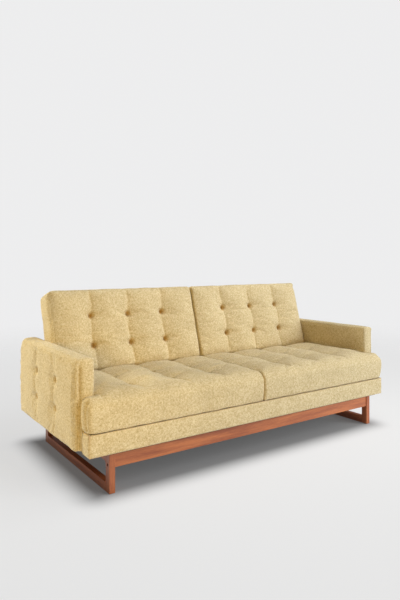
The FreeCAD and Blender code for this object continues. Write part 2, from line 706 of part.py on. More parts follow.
def back_webbing():
    """Elastic straps across the face of the frame, past the outer hinge leaf's open side."""
    straps = []
    strap_x = (stile_x(HINGE_X[0])[0] + 4.0, back_plate_x(HINGE_X[1])[0] - SCREW_HEAD_HEIGHT - 1.0)
    for strap_s in WEBBING_S:
        strap_y = (strap_s - WEBBING_WIDTH / 2, strap_s + WEBBING_WIDTH / 2)
        straps.append(box(strap_x, strap_y, (STILE_T[1], STILE_T[1] + WEBBING)))
    return straps


def back_screws():
    """Screws from each hinge leaf into the stile beside it."""
    screws = []
    for hinge_x in HINGE_X:
        leaf_x = back_plate_x(hinge_x)
        for screw_s in LEAF_SCREW_S:
            middle_t = sum(STILE_T) / 2
            head_start = (leaf_x[0] - SCREW_HEAD_HEIGHT, screw_s, middle_t)
            head = rod(head_start, X_AXIS, SCREW_HEAD_RADIUS, SCREW_HEAD_HEIGHT)
            shank = rod((leaf_x[0], screw_s, middle_t), X_AXIS, SCREW_RADIUS, PLATE + STILE * 0.75)
            screws.append(fuse([head, shank]))
    return screws


def make_backs():
    frame = back_frame()
    webbing = back_webbing()
    screws = back_screws()
    plates = [back_plate(hinge_x) for hinge_x in HINGE_X]
    screw_room = Part.makeCompound(screws)
    frame = [piece.cut(screw_room) for piece in frame]
    plates = [plate.cut(screw_room) for plate in plates]

    well_floor = FACE_T - TUFT_DEPTH - BUTTON_HEIGHT
    wells = tuft_wells(TUFT_BACK_S, well_floor)
    buttons = tuft_buttons(TUFT_BACK_S, well_floor)
    pockets = [placed(hinge_pocket(hinge_x), (0, -AXIS_Y, -AXIS_Z)) for hinge_x in HINGE_X]
    inside = Part.makeCompound(frame + webbing + screws + plates + wells + pockets)
    outer = back_block(0.0)
    inner = back_block(FABRIC)
    write_pair("back_foam", raised(inner.cut(inside)))
    write_pair("back_cover", raised(outer.cut(inner).cut(Part.makeCompound(wells + pockets))))
    write_pair("back_frame", [raised(piece) for piece in frame])
    write_pair("back_webbing", [raised(strap) for strap in webbing])
    write_pair("back_buttons", [raised(piece) for piece in buttons])
    write_pair("back_hinge_plates", [raised(plate) for plate in plates])
    write_pair("back_hinge_screws", [raised(screw) for screw in screws])
    write("hinge_seat_plates", both_sides([seat_plate(hinge_x) for hinge_x in HINGE_X]))
    write_pair("hinge_pawls", [pawl(hinge_x) for hinge_x in HINGE_X])
    pins = []
    for hinge_x in HINGE_X:
        pins.append(headed_pin(hinge_x, (AXIS_Y, AXIS_Z), PIN_RADIUS))
        pins.append(headed_pin(hinge_x, pawl_eye(), PAWL_PIN_RADIUS))
    write("hinge_pins", both_sides(pins))


# ---- arms ---------------------------------------------------------------------------------

ARM_PANEL_X = (WIDTH / 2 - ARM_PANEL, WIDTH / 2)
HARDBOARD = 4.0
ARM_PAD_INNER = 12.0
ARM_CORE_Y = (ARM_FRONT + FABRIC + ARM_FOAM, ARM_REAR - FABRIC - ARM_FOAM)
ARM_CORE_Z = (ARM_BOTTOM + FABRIC, ARM_TOP - FABRIC - ARM_FOAM)
ARM_TIMBER_X = (ARM_INNER_X + FABRIC + ARM_PAD_INNER + HARDBOARD, ARM_PANEL_X[0] - HARDBOARD)
ARM_TIMBER = 40.0
ARM_FOOT_RAIL_Z = (ARM_CORE_Z[0], PLATFORM_TOP)
ARM_RADIUS = 20.0
ARM_UPRIGHT_RADIUS = 8.0
ARM_PANEL_RADIUS = 12.0
ARM_PANEL_DROP = 4.0        # the outer panel stops just below the arm's top
ARM_TUFT_DEPTH = 2.0


def arm_block(inset):
    x = (ARM_INNER_X + inset, ARM_PANEL_X[0])
    y = (ARM_FRONT + inset, ARM_REAR - inset)
    z = (ARM_BOTTOM, ARM_TOP - inset)
    block = box(x, y, z)

    def upright_inner(point, direction):
        return abs(direction.z) > 0.99 and near(point.x, x[0])

    def top(point, direction):
        return near(point.z, z[1]) and not near(point.x, x[1])

    block = rounded(block, ARM_UPRIGHT_RADIUS - inset, upright_inner)
    return rounded(block, ARM_RADIUS - inset, top)


def arm_frame():
    y = ARM_CORE_Y
    z = ARM_CORE_Z
    x = ARM_TIMBER_X
    foot_x = (ARM_INNER_X + FABRIC, x[1])
    front_post = box(x, (y[0], y[0] + ARM_TIMBER), (ARM_FOOT_RAIL_Z[1], z[1]))
    rear_post = box(x, (y[1] - ARM_TIMBER, y[1]), (ARM_FOOT_RAIL_Z[1], z[1]))
    top_rail = box(x, (y[0] + ARM_TIMBER, y[1] - ARM_TIMBER), (z[1] - ARM_TIMBER, z[1]))
    foot_rail = box(foot_x, y, ARM_FOOT_RAIL_Z)
    return [front_post, rear_post, top_rail, foot_rail]


def make_arms(arm_bolts):
    bolts = Part.makeCompound(arm_bolts)
    frame = [piece.cut(bolts) for piece in arm_frame()]
    write_pair("arm_frame", frame)
    x = ARM_TIMBER_X
    inner_board = box((x[0] - HARDBOARD, x[0]), ARM_CORE_Y, (ARM_FOOT_RAIL_Z[1], ARM_CORE_Z[1]))
    outer_board = box((x[1], x[1] + HARDBOARD), ARM_CORE_Y, ARM_CORE_Z)
    write("arm_boards", both_sides([inner_board, outer_board]))

    upper_core = box((x[0] - HARDBOARD, ARM_PANEL_X[0]), ARM_CORE_Y, (ARM_BOTTOM, ARM_CORE_Z[1]))
    foot_core = box((ARM_INNER_X, ARM_PANEL_X[0]), ARM_CORE_Y, (ARM_BOTTOM, ARM_FOOT_RAIL_Z[1]))
    core = fuse([upper_core, foot_core])
    inner = arm_block(FABRIC)
    write_pair("arm_padding", inner.cut(core))
    write_pair("arm_cover", arm_block(0.0).cut(inner).cut(bolts))

    panel = box(ARM_PANEL_X, (ARM_FRONT, ARM_REAR), (ARM_BOTTOM, ARM_TOP - ARM_PANEL_DROP))
    panel = rounded(panel, ARM_PANEL_RADIUS, lambda point, direction: near(point.x, ARM_PANEL_X[1]))
    third_y = (ARM_REAR - ARM_FRONT) / 3
    third_z = (ARM_TOP - ARM_BOTTOM) / 3
    well_x = WIDTH / 2 - ARM_TUFT_DEPTH - BUTTON_HEIGHT
    wells = []
    buttons = []
    for tuft_y in (ARM_FRONT + third_y, ARM_REAR - third_y):
        for tuft_z in (ARM_BOTTOM + third_z, ARM_TOP - third_z):
            centre = (well_x, tuft_y, tuft_z)
            reach = BUTTON_HEIGHT + ARM_TUFT_DEPTH + 1.0
            wells.append(rod(centre, X_AXIS, BUTTON_RADIUS + WELL_CLEARANCE, reach))
            buttons.append(placed(button(BUTTON_RADIUS, BUTTON_HEIGHT), centre, Y_AXIS, 90.0))
    write_pair("arm_outer_panel", panel.cut(Part.makeCompound(wells)))
    write("arm_buttons", both_sides(buttons))
    write("arm_bolts", both_sides(arm_bolts))


# ---- assembly -----------------------------------------------------------------------------

base_screws = make_base()
write("wood_screws", base_screws + both_sides(hinge_screws()))
side_bolts = [arm_bolt(bolt_y) for bolt_y in ARM_BOLT_Y]
make_platform(base_screws, side_bolts)
make_seat()
make_backs()
make_arms(side_bolts)
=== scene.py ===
"""Split-back sleeper sofa on wooden sled legs: the looks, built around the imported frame.

Metres. X runs along the sofa, Y from front to rear, Z up, as in the frame.
"""
import json
import math

import bmesh
import bpy
import numpy as np
from mathutils import Matrix, Vector


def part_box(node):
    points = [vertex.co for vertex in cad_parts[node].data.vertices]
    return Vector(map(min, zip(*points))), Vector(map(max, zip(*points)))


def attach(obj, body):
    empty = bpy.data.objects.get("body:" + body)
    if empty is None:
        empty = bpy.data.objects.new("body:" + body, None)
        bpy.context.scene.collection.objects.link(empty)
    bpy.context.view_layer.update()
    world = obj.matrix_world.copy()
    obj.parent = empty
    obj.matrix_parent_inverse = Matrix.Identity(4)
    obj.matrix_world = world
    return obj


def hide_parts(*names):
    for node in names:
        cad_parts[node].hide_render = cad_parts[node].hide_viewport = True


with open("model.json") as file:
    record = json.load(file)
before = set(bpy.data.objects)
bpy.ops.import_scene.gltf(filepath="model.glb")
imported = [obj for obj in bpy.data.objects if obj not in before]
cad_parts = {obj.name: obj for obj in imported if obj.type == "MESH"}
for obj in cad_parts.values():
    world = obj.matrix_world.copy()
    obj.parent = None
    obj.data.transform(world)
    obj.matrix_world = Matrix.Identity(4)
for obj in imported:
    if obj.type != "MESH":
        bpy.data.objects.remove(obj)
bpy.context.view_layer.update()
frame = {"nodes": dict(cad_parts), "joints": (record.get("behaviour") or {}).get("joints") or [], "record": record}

# ---- camera, light and floor --------------------------------------------------------------

CAMERA_PLACE = (-1.9454, -2.6421, 1.0528)
CAMERA_TURN = math.radians(-34.857)
CAMERA_LENS = 31.80
CAMERA_SHIFT = -0.06507


def make_camera():
    """Level camera in front of the left end; the shift keeps the uprights upright."""
    data = bpy.data.cameras.new("camera")
    camera = bpy.data.objects.new("camera", data)
    bpy.context.scene.collection.objects.link(camera)
    camera.location = CAMERA_PLACE
    camera.rotation_euler = (math.radians(90), 0, CAMERA_TURN)
    data.sensor_width = 36
    data.lens = CAMERA_LENS
    data.shift_y = CAMERA_SHIFT
    bpy.context.scene.camera = camera


def aim(obj, target):
    direction = Vector(target) - obj.location
    obj.rotation_euler = direction.to_track_quat("-Z", "Y").to_euler()


def make_light(name, kind, location, target, energy, colour, **settings):
    data = bpy.data.lights.new(name, kind)
    data.energy = energy
    data.color = colour
    for key, value in settings.items():
        setattr(data, key, value)
    light = bpy.data.objects.new(name, data)
    bpy.context.scene.collection.objects.link(light)
    light.location = location
    aim(light, target)
    return light


WORLD_TINT = (0.96, 0.98, 1.0)
WORLD_STRENGTH = 0.14
BACKDROP = (0.85, 0.85, 0.855)


def make_lights():
    """A soft key from the front right, a top light, and low lights at the ends; an even pale surround."""
    make_light("key", "SUN", (2.4, -3.5, 3.0), (0, 0, 0.3), 1.50, (0.965, 0.985, 0.98),
               angle=math.radians(36))
    make_light("overhead", "AREA", (0.9, -0.7, 3.2), (0.1, -0.1, 0.4), 41, (1, 0.97, 0.92),
               shape="RECTANGLE", size=2.4, size_y=1.8)
    left_rear = make_light("left_rear", "AREA", (-2.8, 2.5, 1.9), (-1.05, 0.0, 0.45), 124, (1, 0.92, 0.72),
                           shape="RECTANGLE", size=1.0, size_y=0.8)
    left_front = make_light("left_front", "AREA", (-2.4, -2.5, 1.0), (-1.0, -0.3, 0.45), 8, (1, 0.64, 0.05),
                            shape="RECTANGLE", size=0.9, size_y=0.7, spread=math.radians(90))
    make_light("right_front", "AREA", (2.5, -2.5, 0.9), (1.1, -0.3, 0.35), 9, (0.92, 0.97, 1.0),
               shape="RECTANGLE", size=0.9, size_y=0.7, spread=math.radians(100))
    # The two warm lights fall on the fabric only, so that the floor stays neutral and the base dark.
    unlit = bpy.data.collections.new("out_of_warm_light")
    unlit.objects.link(bpy.data.objects["floor"])
    for part in frame["record"]["subparts"]:
        if part["material_slot"] == "stained_wood":
            unlit.objects.link(frame["nodes"][part["node"]])
    for entry in unlit.collection_objects:
        entry.light_linking.link_state = "EXCLUDE"
    for light in (left_rear, left_front):
        light.light_linking.receiver_collection = unlit
    world = bpy.data.worlds.new("surround")
    bpy.context.scene.world = world
    world.use_nodes = True
    nodes = world.node_tree.nodes
    links = world.node_tree.links
    nodes.clear()
    output = nodes.new("ShaderNodeOutputWorld")
    mix = nodes.new("ShaderNodeMixShader")
    path = nodes.new("ShaderNodeLightPath")
    lit = nodes.new("ShaderNodeBackground")
    seen = nodes.new("ShaderNodeBackground")
    lit.inputs["Color"].default_value = (*WORLD_TINT, 1)
    lit.inputs["Strength"].default_value = WORLD_STRENGTH
    seen.inputs["Color"].default_value = (*BACKDROP, 1)
    links.new(path.outputs["Is Camera Ray"], mix.inputs["Fac"])
    links.new(lit.outputs["Background"], mix.inputs[1])
    links.new(seen.outputs["Background"], mix.inputs[2])
    links.new(mix.outputs["Shader"], output.inputs["Surface"])
    bpy.context.scene.view_settings.view_transform = "Standard"


FLOOR_HALF = 40.0
FLOOR_COLOUR = (0.24, 0.24, 0.243)
# Strength of the painted light that the floor emits away from the sofa.
PAINTED_FLOOR_LIGHT = 0.635
# The footprint left without emission, a painted shadow under the sofa: for X and Y, its middle and half its side.
# The painted light of the emission rises across its edge.
PAINTED_SHADOW_FOOTPRINT = ((-0.03, 0.93), (0.0, 0.43))
PAINTED_LIGHT_EDGE = (-0.075, 0.19)
FLOOR_FADE = (1.6, 6.5)         # where the paper starts and ends to blend into the backdrop


def smooth_range(nodes, links, value, ends, results, interpolation):
    """A node that takes value from one pair of ends to another, smoothly and without passing them."""
    node = nodes.new("ShaderNodeMapRange")
    node.interpolation_type = interpolation
    for socket, number in zip(("From Min", "From Max", "To Min", "To Max"), (*ends, *results)):
        node.inputs[socket].default_value = number
    links.new(value, node.inputs["Value"])
    return node.outputs["Result"]


def make_floor():
    """Pale paper that emits painted light away from the sofa and none under it, leaving a painted shadow beneath
    the sofa.
    """
    corners = [(-FLOOR_HALF, -FLOOR_HALF, 0), (FLOOR_HALF, -FLOOR_HALF, 0),
               (FLOOR_HALF, FLOOR_HALF, 0), (-FLOOR_HALF, FLOOR_HALF, 0)]
    mesh = bpy.data.meshes.new("floor")
    mesh.from_pydata(corners, [], [(0, 1, 2, 3)])
    floor = bpy.data.objects.new("floor", mesh)
    bpy.context.scene.collection.objects.link(floor)
    material, nodes, links, shader = new_material("floor_paper")
    shader.inputs["Base Color"].default_value = (*FLOOR_COLOUR, 1)
    shader.inputs["Roughness"].default_value = 0.9
    shader.inputs["Specular IOR Level"].default_value = 0.1
    where = nodes.new("ShaderNodeTexCoord")
    split = nodes.new("ShaderNodeSeparateXYZ")
    links.new(where.outputs["Object"], split.inputs[0])
    beyond = []
    for axis, (middle, half_side) in enumerate(PAINTED_SHADOW_FOOTPRINT):
        past = math_node(nodes, links, "SUBTRACT", split.outputs[axis], middle)
        past = math_node(nodes, links, "ABSOLUTE", past)
        past = math_node(nodes, links, "SUBTRACT", past, half_side)
        past = math_node(nodes, links, "MAXIMUM", past, 0.0)
        beyond.append(math_node(nodes, links, "POWER", past, 2.0))
    away = math_node(nodes, links, "SQRT", math_node(nodes, links, "ADD", *beyond))
    # Painted light: the floor emits more the further it lies from the footprint, and nothing under the sofa, a
    # painted shadow.
    painted_floor_glow = smooth_range(nodes, links, away, PAINTED_LIGHT_EDGE, (0.0, PAINTED_FLOOR_LIGHT), "SMOOTHERSTEP")
    shader.inputs["Emission Color"].default_value = (1, 1, 1, 1)
    links.new(painted_floor_glow, shader.inputs["Emission Strength"])
    length = nodes.new("ShaderNodeVectorMath")
    length.operation = "LENGTH"
    links.new(where.outputs["Object"], length.inputs[0])
    fade = smooth_range(nodes, links, length.outputs["Value"], FLOOR_FADE, (1.0, 0.0), "SMOOTHSTEP")
    links.new(fade, shader.inputs["Alpha"])
    mesh.materials.append(material)


# ---- materials ----------------------------------------------------------------------------

def new_material(name):
    material = bpy.data.materials.new(name)
    material.use_nodes = True
    nodes = material.node_tree.nodes
    return material, nodes, material.node_tree.links, nodes["Principled BSDF"]


def math_node(nodes, links, operation, first, second=None):
    node = nodes.new("ShaderNodeMath")
    node.operation = operation
    for index, value in enumerate((first, second)):
        if value is None:
            continue
        if isinstance(value, (int, float)):
            node.inputs[index].default_value = value
        else:
            links.new(value, node.inputs[index])
    return node.outputs[0]


def noise(nodes, links, coords, scale, detail=2.0, roughness=0.5):
    node = nodes.new("ShaderNodeTexNoise")
    node.inputs["Scale"].default_value = scale
    node.inputs["Detail"].default_value = detail
    node.inputs["Roughness"].default_value = roughness
    links.new(coords, node.inputs["Vector"])
    return node.outputs["Fac"]


def ramp(nodes, links, factor, stops):
    node = nodes.new("ShaderNodeValToRGB")
    elements = node.color_ramp.elements
    while len(elements) < len(stops):
        elements.new(0.5)
    for element, (position, colour) in zip(elements, stops):
        element.position = position
        element.color = (*colour, 1)
    links.new(factor, node.inputs["Fac"])
    return node.outputs["Color"]


def mix_colour(nodes, links, factor, first, second, blend_type="MIX"):
    node = nodes.new("ShaderNodeMix")
    node.data_type = "RGBA"
    node.blend_type = blend_type
    if isinstance(factor, float):
        node.inputs[0].default_value = factor
    else:
        links.new(factor, node.inputs[0])
    for socket, value in ((node.inputs[6], first), (node.inputs[7], second)):
        if isinstance(value, tuple):
            socket.default_value = (*value, 1)
        else:
            links.new(value, socket)
    return node.outputs[2]


def bump(nodes, links, height, distance, strength, shader):
    node = nodes.new("ShaderNodeBump")
    node.inputs["Distance"].default_value = distance
    node.inputs["Strength"].default_value = strength
    links.new(height, node.inputs["Height"])
    links.new(node.outputs["Normal"], shader.inputs["Normal"])


def set_roughness(nodes, links, pattern, spread, least, shader):
    """Roughness from least to least + spread, following a pattern from 0 to 1."""
    rough = math_node(nodes, links, "MULTIPLY_ADD", pattern, spread)
    rough.node.inputs[2].default_value = least
    links.new(rough, shader.inputs["Roughness"])


def blended(nodes, links, *parts):
    """Sum of (pattern, weight) pairs."""
    total = None
    for pattern, weight in parts:
        part = math_node(nodes, links, "MULTIPLY", pattern, weight)
        total = part if total is None else math_node(nodes, links, "ADD", total, part)
    return total


def weave_height(nodes, links, coords, normal, pitch):
    """Plain weave: over-and-under bumps on whichever plane the surface faces most."""
    split = nodes.new("ShaderNodeSeparateXYZ")
    links.new(coords, split.inputs[0])
    facing = nodes.new("ShaderNodeSeparateXYZ")
    links.new(normal, facing.inputs[0])
    waves = []
    weights = []
    for axis in range(3):
        along = math_node(nodes, links, "MULTIPLY", split.outputs[axis], math.pi / pitch)
        waves.append(math_node(nodes, links, "SINE", along))
        weight = math_node(nodes, links, "ABSOLUTE", facing.outputs[axis])
        weights.append(math_node(nodes, links, "POWER", weight, 6.0))
    total = math_node(nodes, links, "ADD", weights[0], weights[1])
    total = math_node(nodes, links, "ADD", total, weights[2])
    height = None
    for axis in range(3):
        crossing = math_node(nodes, links, "MULTIPLY", waves[(axis + 1) % 3], waves[(axis + 2) % 3])
        part = math_node(nodes, links, "MULTIPLY", crossing, weights[axis])
        height = part if height is None else math_node(nodes, links, "ADD", height, part)
    return math_node(nodes, links, "DIVIDE", height, total)


WHITE = (1.0, 1.0, 1.0)
# Painted shade: within this reach of another surface the cloth's colour is darkened towards the fold colour.
FOLD_SHADE_REACH = 0.06               # how near another surface has to be to shade a fold


def make_tweed(name, dark, body, light, pitch=0.0024, fold=(0.74, 0.55, 0.28), own_shade_only=True):
    """Coarse heathered tweed: woven bumps, slubs, and yarns that differ in colour, and painted shade that darkens
    and warms the colour in each fold.

    own_shade_only is False where the neighbours' nearness adds painted shade too, as round a sunk button."""
    material, nodes, links, shader = new_material(name)
    where = nodes.new("ShaderNodeTexCoord")
    coords = where.outputs["Object"]
    weave = weave_height(nodes, links, coords, where.outputs["Normal"], pitch)
    yarn = noise(nodes, links, coords, 330.0, 3.0, 0.65)
    slub = noise(nodes, links, coords, 120.0, 2.0, 0.5)
    patch = noise(nodes, links, coords, 9.0, 3.0, 0.55)
    heather = blended(nodes, links, (yarn, 0.62), (slub, 0.38), (weave, 0.07))
    colour = ramp(nodes, links, heather, ((0.32, dark), (0.50, body), (0.68, light)))
    tone = ramp(nodes, links, patch, ((0.35, (0.93, 0.92, 0.90)), (0.65, WHITE)))
    colour = mix_colour(nodes, links, 1.0, colour, tone, "MULTIPLY")
    # Painted shade: where other surfaces are near, the colour is multiplied towards the fold colour, darker and
    # more orange in creases.
    painted_fold_shade = nodes.new("ShaderNodeAmbientOcclusion")
    painted_fold_shade.samples = 8
    painted_fold_shade.only_local = own_shade_only
    painted_fold_shade.inputs["Distance"].default_value = FOLD_SHADE_REACH
    depth = ramp(nodes, links, painted_fold_shade.outputs["AO"], ((0.25, fold), (0.85, WHITE)))
    links.new(mix_colour(nodes, links, 1.0, colour, depth, "MULTIPLY"), shader.inputs["Base Color"])
    set_roughness(nodes, links, yarn, 0.2, 0.78, shader)
    shader.inputs["Sheen Weight"].default_value = 0.12
    shader.inputs["Sheen Roughness"].default_value = 0.5
    shader.inputs["Specular IOR Level"].default_value = 0.15
    bump(nodes, links, blended(nodes, links, (weave, 0.35), (yarn, 0.9)), 0.0009, 0.55, shader)
    return material


def make_wood(name, axis, light, dark, gloss=0.38, coat=0.25, grain=1.0):
    """Wood whose grain runs along one axis: long figure, fine pores, and a thin satin finish."""
    material, nodes, links, shader = new_material(name)
    where = nodes.new("ShaderNodeTexCoord")
    stretch = nodes.new("ShaderNodeMapping")
    scale = [1.0, 1.0, 1.0]
    scale[axis] = 0.07
    stretch.inputs["Scale"].default_value = scale
    links.new(where.outputs["Object"], stretch.inputs["Vector"])
    coords = stretch.outputs["Vector"]
    figure = noise(nodes, links, coords, 38.0 * grain, 4.0, 0.6)
    fibres = noise(nodes, links, coords, 420.0 * grain, 3.0, 0.6)
    blend = blended(nodes, links, (figure, 0.7), (fibres, 0.3))
    middle = tuple((a + b) / 2 for a, b in zip(light, dark))
    colour = ramp(nodes, links, blend, ((0.36, dark), (0.5, middle), (0.64, light)))
    links.new(colour, shader.inputs["Base Color"])
    set_roughness(nodes, links, fibres, 0.2, gloss - 0.1, shader)
    shader.inputs["Coat Weight"].default_value = coat
    shader.inputs["Coat Roughness"].default_value = 0.22
    bump(nodes, links, fibres, 0.0003, 0.35, shader)
    return material


def make_metal(name, colour, roughness, metallic=1.0):
    """Worked steel: fine mottling in colour, gloss and surface."""
    material, nodes, links, shader = new_material(name)
    where = nodes.new("ShaderNodeTexCoord")
    mottle = noise(nodes, links, where.outputs["Object"], 260.0, 4.0, 0.6)
    lower = tuple(c * 0.8 for c in colour)
    links.new(ramp(nodes, links, mottle, ((0.35, lower), (0.65, colour))), shader.inputs["Base Color"])
    shader.inputs["Metallic"].default_value = metallic
    set_roughness(nodes, links, mottle, 0.25, roughness - 0.12, shader)
    bump(nodes, links, mottle, 0.0002, 0.3, shader)
    return material


def make_plain(name, colour, roughness, scale, depth):
    """Foam, felted lining or moulded plastic: grainy, with a slight change of colour."""
    material, nodes, links, shader = new_material(name)
    where = nodes.new("ShaderNodeTexCoord")
    grain = noise(nodes, links, where.outputs["Object"], scale, 4.0, 0.65)
    lower = tuple(c * 0.82 for c in colour)
    links.new(ramp(nodes, links, grain, ((0.35, lower), (0.65, colour))), shader.inputs["Base Color"])
    shader.inputs["Roughness"].default_value = roughness
    bump(nodes, links, grain, depth, 0.5, shader)
    return material


STAIN_LIGHT = (0.63, 0.190, 0.052)
STAIN_DARK = (0.33, 0.076, 0.022)
PALE_LIGHT = (0.60, 0.43, 0.25)
PALE_DARK = (0.44, 0.29, 0.15)
PLY_LIGHT = (0.62, 0.46, 0.28)
PLY_DARK = (0.50, 0.35, 0.19)

# The dark, middle and light yarns of each cloth.
SOFA_YARNS = ((0.40, 0.29, 0.115), (0.655, 0.535, 0.315), (0.84, 0.75, 0.54))
BUTTON_YARNS = ((0.36, 0.25, 0.10), (0.60, 0.48, 0.27), (0.78, 0.68, 0.47))
WEBBING_YARNS = ((0.02, 0.02, 0.02), (0.05, 0.048, 0.045), (0.12, 0.11, 0.10))
LINING_YARNS = ((0.008, 0.008, 0.008), (0.018, 0.018, 0.018), (0.04, 0.04, 0.04))

TWEED = make_tweed("mustard_tweed", *SOFA_YARNS)
# The buttons' cloth takes a darker painted shade, cast by the well round each button as well as by the button
# itself.
BUTTON_TWEED = make_tweed("button_tweed", *BUTTON_YARNS, 0.0018, fold=(0.52, 0.43, 0.26), own_shade_only=False)


def paint_frame():
    """Give every node of the frame the material of its slot; wood takes the grain of its longest side."""
    stained, pale = [], []
    for axis, letter in enumerate("xyz"):
        stained.append(make_wood("stained_wood_" + letter, axis, STAIN_LIGHT, STAIN_DARK))
        pale.append(make_wood("pale_timber_" + letter, axis, PALE_LIGHT, PALE_DARK, 0.7, 0.0))
    ply = make_wood("plywood", 0, PLY_LIGHT, PLY_DARK, 0.65, 0.0, 0.5)
    board = make_plain("hardboard", (0.28, 0.17, 0.09), 0.7, 300.0, 0.0003)
    foam = make_plain("foam", (0.85, 0.79, 0.60), 0.95, 700.0, 0.0008)
    webbing = make_tweed("elastic_webbing", *WEBBING_YARNS, 0.003)
    lining = make_tweed("black_lining", *LINING_YARNS, 0.001)
    plastic = make_plain("glide_plastic", (0.05, 0.04, 0.035), 0.5, 200.0, 0.0002)
    zinc = make_metal("zinc_steel", (0.62, 0.62, 0.60), 0.38)
    bolt = make_metal("dark_bolt", (0.09, 0.085, 0.08), 0.42)
    hinge = make_metal("hinge_steel", (0.08, 0.08, 0.085), 0.5, 0.4)
    spring = make_metal("spring_steel", (0.26, 0.26, 0.27), 0.42)
    by_slot = {
        "foam": foam, "webbing": webbing, "lining": lining, "hardboard": board, "plywood": ply,
        "glide_plastic": plastic, "dowel_wood": pale[1], "zinc_steel": zinc, "hinge_steel": hinge,
        "spring_steel": spring, "tweed": TWEED, "button_tweed": BUTTON_TWEED,
    }
    slots = {part["node"]: part["material_slot"] for part in frame["record"]["subparts"]}
    for node, obj in frame["nodes"].items():
        low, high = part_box(node)
        extent = [high[axis] - low[axis] for axis in range(3)]
        longest = extent.index(max(extent))
        slot = slots[node]
        if slot == "stained_wood":
            material = stained[longest]
        elif slot == "frame_timber":
            material = pale[longest]
        elif node == "stretcher_bolts":
            material = bolt
        else:
            material = by_slot[slot]
        for index in range(max(1, len(obj.material_slots))):
            if obj.material_slots:
                obj.material_slots[index].material = material
            else:
                obj.data.materials.append(material)


# ---- shapes of upholstered pieces ---------------------------------------------------------

def round_max(a, b, radius):
    """Intersection of two half spaces, given as signed distances, with a rounded edge."""
    u = np.maximum(radius + a, 0)
    v = np.maximum(radius + b, 0)
    return np.minimum(-radius, np.maximum(a, b)) + np.hypot(u, v)


def block_distance(low, high, radii):
    """A box as a distance function. radii is a list of (face, radius), most important face first.

    Faces are named "-x", "+x", "-y" and so on. Each radius, a number or a function of the points, rounds
    the edges between its face and the faces listed before it; the first face's own number isn't used."""
    faces = {}
    for axis, letter in enumerate("xyz"):
        faces["-" + letter] = (axis, -1, low[axis])
        faces["+" + letter] = (axis, 1, high[axis])

    def distance(points):
        parts = {name: sign * (points[:, axis] - at) for name, (axis, sign, at) in faces.items()}
        result = parts[radii[0][0]]
        for name, radius in radii[1:]:
            size = radius(points) if callable(radius) else radius
            result = round_max(result, parts[name], size)
        return result

    return distance


def union(*shapes):
    """Distance to the nearest of several shapes."""
    def distance(points):
        return np.min([shape(points) for shape in shapes], axis=0)
    return distance


def gradient(distance, points, step=2e-4):
    result = np.empty_like(points)
    for axis in range(3):
        offset = np.zeros(3)
        offset[axis] = step
        result[:, axis] = distance(points + offset) - distance(points - offset)
    length = np.linalg.norm(result, axis=1, keepdims=True)
    return result / np.maximum(length, 1e-9)


def settle_on(distance, points, rounds=8):
    """Move points onto the surface where distance is zero."""
    for _ in range(rounds):
        points = points - gradient(distance, points) * distance(points)[:, None]
    return points


def read_vectors(items, key):
    flat = np.empty(len(items) * 3)
    items.foreach_get(key, flat)
    return flat.reshape(-1, 3)


def get_points(mesh):
    return read_vectors(mesh.vertices, "co")


def set_points(mesh, points):
    mesh.vertices.foreach_set("co", np.ascontiguousarray(points, dtype=np.float64).ravel())
    mesh.update()


def get_normals(mesh):
    mesh.update()
    return read_vectors(mesh.vertices, "normal")


def outline_block(outline, low_z, high_z):
    """A closed prism over an outline in X and Y."""
    shape = bmesh.new()
    floor = [shape.verts.new((x, y, low_z)) for x, y in outline]
    bottom = shape.faces.new(floor)
    lifted = bmesh.ops.extrude_face_region(shape, geom=[bottom])
    top = [item for item in lifted["geom"] if isinstance(item, bmesh.types.BMVert)]
    bmesh.ops.translate(shape, vec=(0, 0, high_z - low_z), verts=top)
    bmesh.ops.recalc_face_normals(shape, faces=shape.faces)
    mesh = bpy.data.meshes.new("block")
    shape.to_mesh(mesh)
    shape.free()
    return mesh


def closed_mesh(vertices, faces):
    """A mesh of a closed skin, all its faces turned outwards."""
    mesh = bpy.data.meshes.new("skin")
    mesh.from_pydata([tuple(vertex) for vertex in vertices], [], faces)
    shape = bmesh.new()
    shape.from_mesh(mesh)
    bmesh.ops.recalc_face_normals(shape, faces=shape.faces)
    shape.to_mesh(mesh)
    shape.free()
    return mesh


def new_piece(name, mesh, material):
    mesh.name = name
    obj = bpy.data.objects.new(name, mesh)
    bpy.context.scene.collection.objects.link(obj)
    mesh.materials.clear()
    mesh.materials.append(material)
    return obj


def baked(obj):
    """Replace an object's mesh with the result of its modifiers."""
    graph = bpy.context.evaluated_depsgraph_get()
    mesh = bpy.data.meshes.new_from_object(obj.evaluated_get(graph))
    obj.modifiers.clear()
    obj.data = mesh
    return obj


def remeshed(obj, voxel):
    modifier = obj.modifiers.new("remesh", "REMESH")
    modifier.mode = "VOXEL"
    modifier.voxel_size = voxel
    return baked(obj)


def subdivided(obj):
    modifier = obj.modifiers.new("smooth", "SUBSURF")
    modifier.levels = 1
    modifier.render_levels = 1
    return baked(obj)


def smooth_shading(obj):
    for polygon in obj.data.polygons:
        polygon.use_smooth = True


